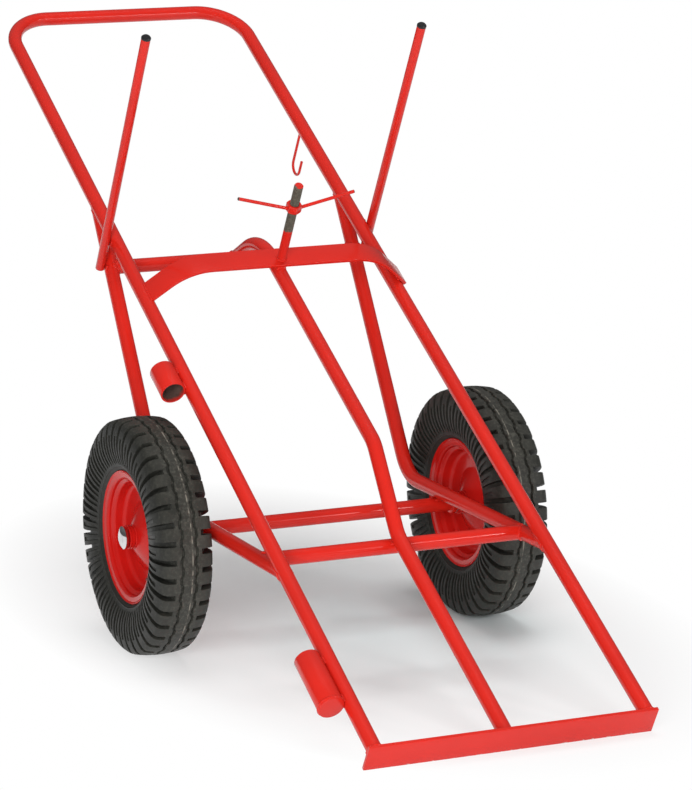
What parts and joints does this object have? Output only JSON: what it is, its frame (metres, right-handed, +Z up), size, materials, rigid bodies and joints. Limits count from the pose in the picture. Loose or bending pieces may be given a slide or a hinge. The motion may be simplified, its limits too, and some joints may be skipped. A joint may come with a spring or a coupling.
{
  "type": "gas cylinder trolley",
  "caption": "Red two-wheeled hand trolley of bent tube for gas cylinders, with a toe bar, bridge bar, wing-nut clamp, side arms, rod holder and pneumatic wheels.",
  "frame": {"origin": "on the floor, at the middle of the bounding box's bottom", "axes": "+X to the right seen from the toe bar, +Y from the toe bar to the handle, +Z up"},
  "size_m": [0.712, 1.6942, 1.0242],
  "materials": {
    "frame_paint": "gloss red enamel",
    "wheel_paint": "gloss red enamel",
    "thread_steel": "bare threaded steel",
    "zinc_steel": "zinc plated",
    "chrome": "polished",
    "tyre": "moulded rubber",
    "rubber": "smooth rubber",
    "black_plastic": "satin"
  },
  "bodies": {
    "frame": {"main_frame_tube": "frame_paint", "toe_bar": "frame_paint", "centre_tube": "frame_paint", "bridge_bar": "frame_paint", "left_strut": "frame_paint", "right_strut": "frame_paint", "upper_cross_tube": "frame_paint", "lower_cross_tube": "frame_paint", "axle": "frame_paint", "left_arm": "frame_paint", "right_arm": "frame_paint", "left_arm_plug": "black_plastic", "right_arm_plug": "black_plastic", "clamp_stud": "thread_steel", "torch_hook": "frame_paint", "rod_ring": "frame_paint", "rod_cup": "frame_paint", "rod_cup_base": "frame_paint", "axle_stop_rings": "frame_paint", "inner_washers": "zinc_steel", "outer_washers": "zinc_steel", "axle_clips": "zinc_steel"},
    "clamp_nut": {"clamp_nut": "frame_paint", "clamp_wings": "frame_paint"},
    "left_wheel": {"left_tyre": "tyre", "left_inner_tube": "rubber", "left_valve_stem": "rubber", "left_outer_rim": "wheel_paint", "left_inner_rim": "wheel_paint", "left_hub": "wheel_paint", "left_bearings": "zinc_steel", "left_hub_cap": "chrome"},
    "right_wheel": {"right_tyre": "tyre", "right_inner_tube": "rubber", "right_valve_stem": "rubber", "right_outer_rim": "wheel_paint", "right_inner_rim": "wheel_paint", "right_hub": "wheel_paint", "right_bearings": "zinc_steel", "right_hub_cap": "chrome"}
  },
  "joints": [
    {"name": "left_wheel_spin", "type": "hinge", "parent": "frame", "child": "left_wheel", "pos_m": [-0.306, -0.07638, 0.2], "axis": [1, 0, 0], "continuous": true},
    {"name": "right_wheel_spin", "type": "hinge", "parent": "frame", "child": "right_wheel", "pos_m": [0.306, -0.07638, 0.2], "axis": [1, 0, 0], "continuous": true},
    {"name": "clamp_nut_turn", "type": "hinge", "parent": "frame", "child": "clamp_nut", "pos_m": [0.006, 0.02443, 0.7147], "axis": [0, -0.4909, 0.8712], "continuous": true}
  ]
}
